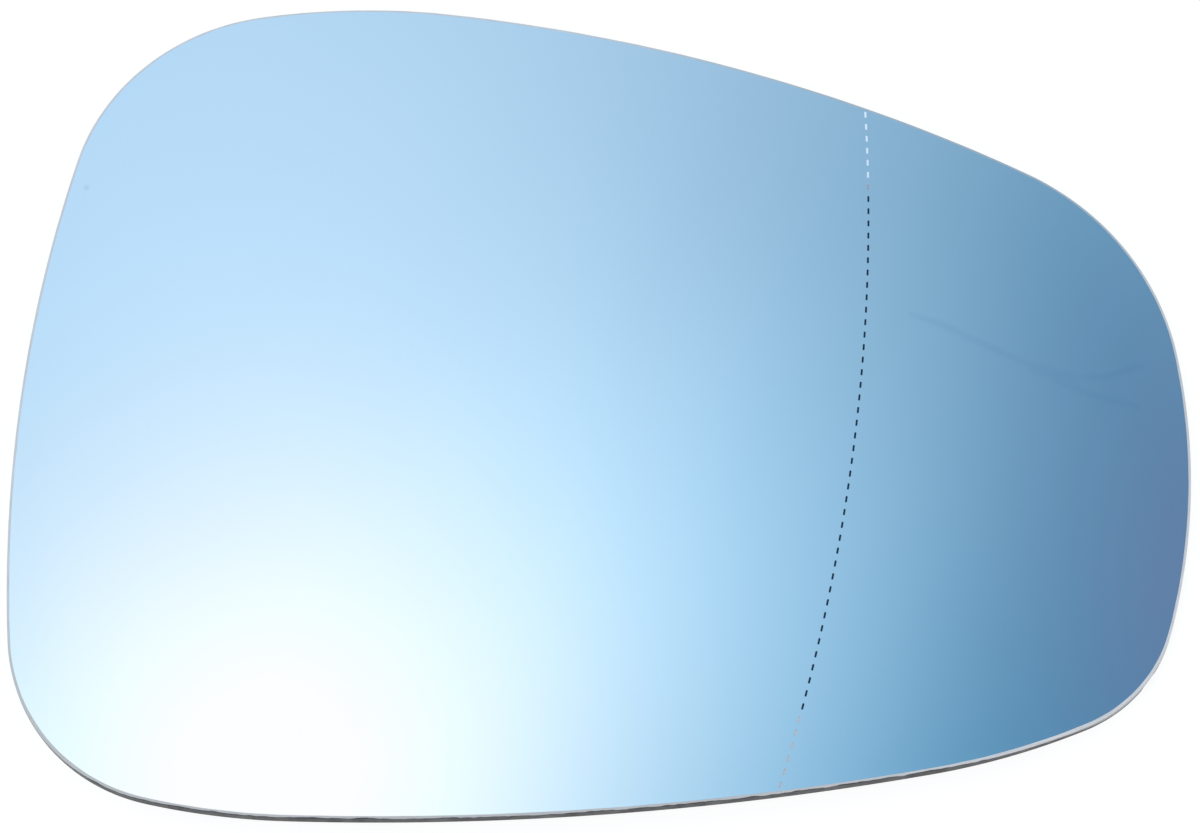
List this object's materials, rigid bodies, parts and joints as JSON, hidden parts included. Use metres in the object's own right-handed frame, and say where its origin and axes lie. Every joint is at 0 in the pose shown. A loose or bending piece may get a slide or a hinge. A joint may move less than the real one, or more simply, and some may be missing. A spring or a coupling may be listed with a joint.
{
  "type": "car door mirror glass",
  "caption": "Bent door mirror glass with a blue reflecting face, a ground rim, a dashed line where its wide-angle outer zone begins, and a dark pad stuck to its back.",
  "frame": {"origin": "middle of the bounding box, on the surface that the glass lies on", "axes": "+X outboard along the glass, +Y up the glass as it stands on the car, +Z out of the reflecting face"},
  "size_m": [0.175, 0.1312, 0.0056],
  "materials": {
    "mirror_glass": "blue reflecting coat on clear glass, with a ground rim",
    "backing_pad": "matte closed-cell foam"
  },
  "bodies": {
    "root": {"mirror_glass": "mirror_glass", "backing_pad": "backing_pad"}
  },
  "joints": []
}
